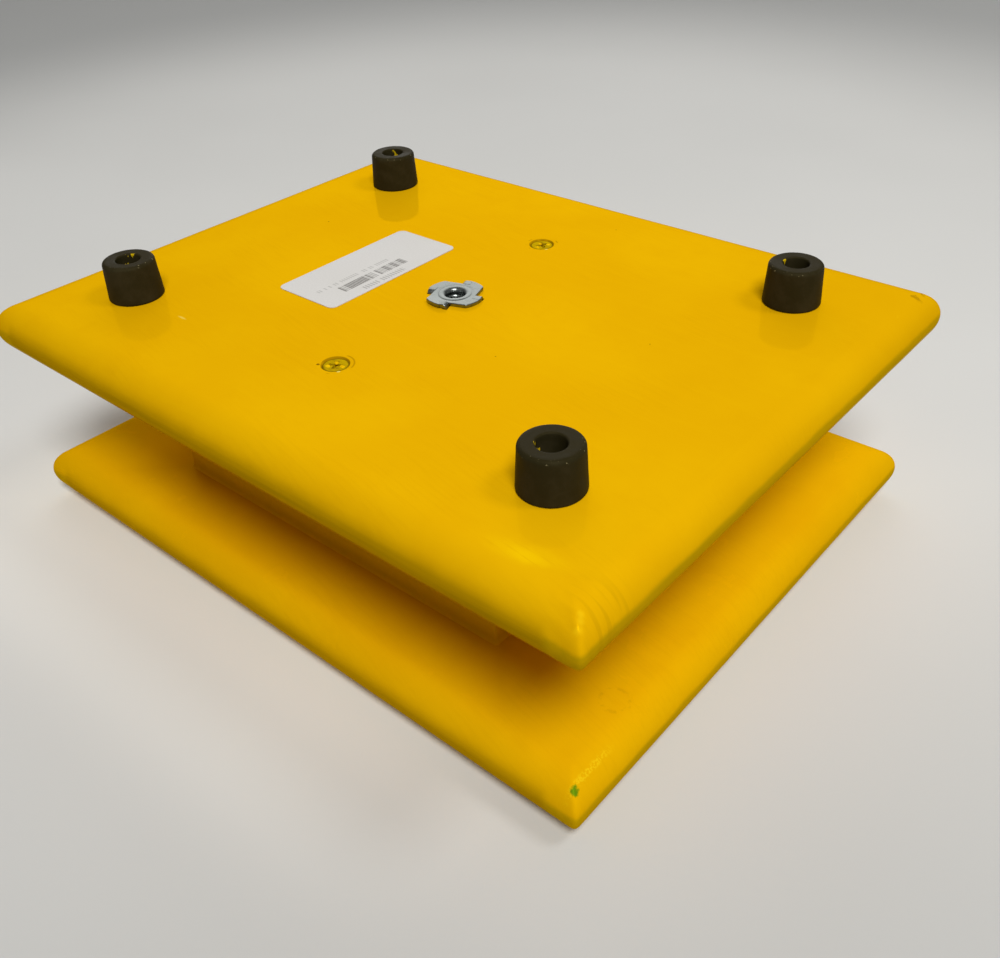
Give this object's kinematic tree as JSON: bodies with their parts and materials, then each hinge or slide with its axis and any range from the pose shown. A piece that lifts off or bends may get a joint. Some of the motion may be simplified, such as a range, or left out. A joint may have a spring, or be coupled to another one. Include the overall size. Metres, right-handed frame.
{
  "type": "practice drum pad",
  "caption": "Two round-edged boards held apart by a block, with rubber feet and a threaded stand nut on the base board.",
  "frame": {"origin": "middle of the box that encloses the object, on the playing face that it stands on", "axes": "+X along the boards' length, +Z from the playing face out through the feet and the stand nut, +Y across the boards away from the viewer. The object is modelled feet up; in use -Z points up."},
  "size_m": [0.257, 0.2, 0.096],
  "materials": {
    "base_enamel": "brushed gloss yellow enamel over wood",
    "playing_enamel": "brushed gloss yellow enamel over wood",
    "block_enamel": "thin yellow enamel over sawn wood",
    "zinc_plate": "dull zinc plate",
    "label_paper": "matte printed paper",
    "foot_rubber": "matte moulded rubber",
    "washer_steel": "dull plated steel",
    "screw_steel": "yellow passivated steel",
    "painted_screw": "steel with yellow enamel brushed over it"
  },
  "bodies": {
    "root": {"base_board": "base_enamel", "playing_board": "playing_enamel", "spacer_block": "block_enamel", "t_nut": "zinc_plate", "label": "label_paper", "foot_front_left": "foot_rubber", "foot_front_right": "foot_rubber", "foot_back_left": "foot_rubber", "foot_back_right": "foot_rubber", "foot_washer_front_left": "washer_steel", "foot_washer_front_right": "washer_steel", "foot_washer_back_left": "washer_steel", "foot_washer_back_right": "washer_steel", "foot_screw_front_left": "screw_steel", "foot_screw_front_right": "screw_steel", "foot_screw_back_left": "screw_steel", "foot_screw_back_right": "screw_steel", "base_screw_front": "painted_screw", "base_screw_back": "painted_screw", "playing_screw_left": "painted_screw", "playing_screw_right": "painted_screw"}
  },
  "joints": []
}
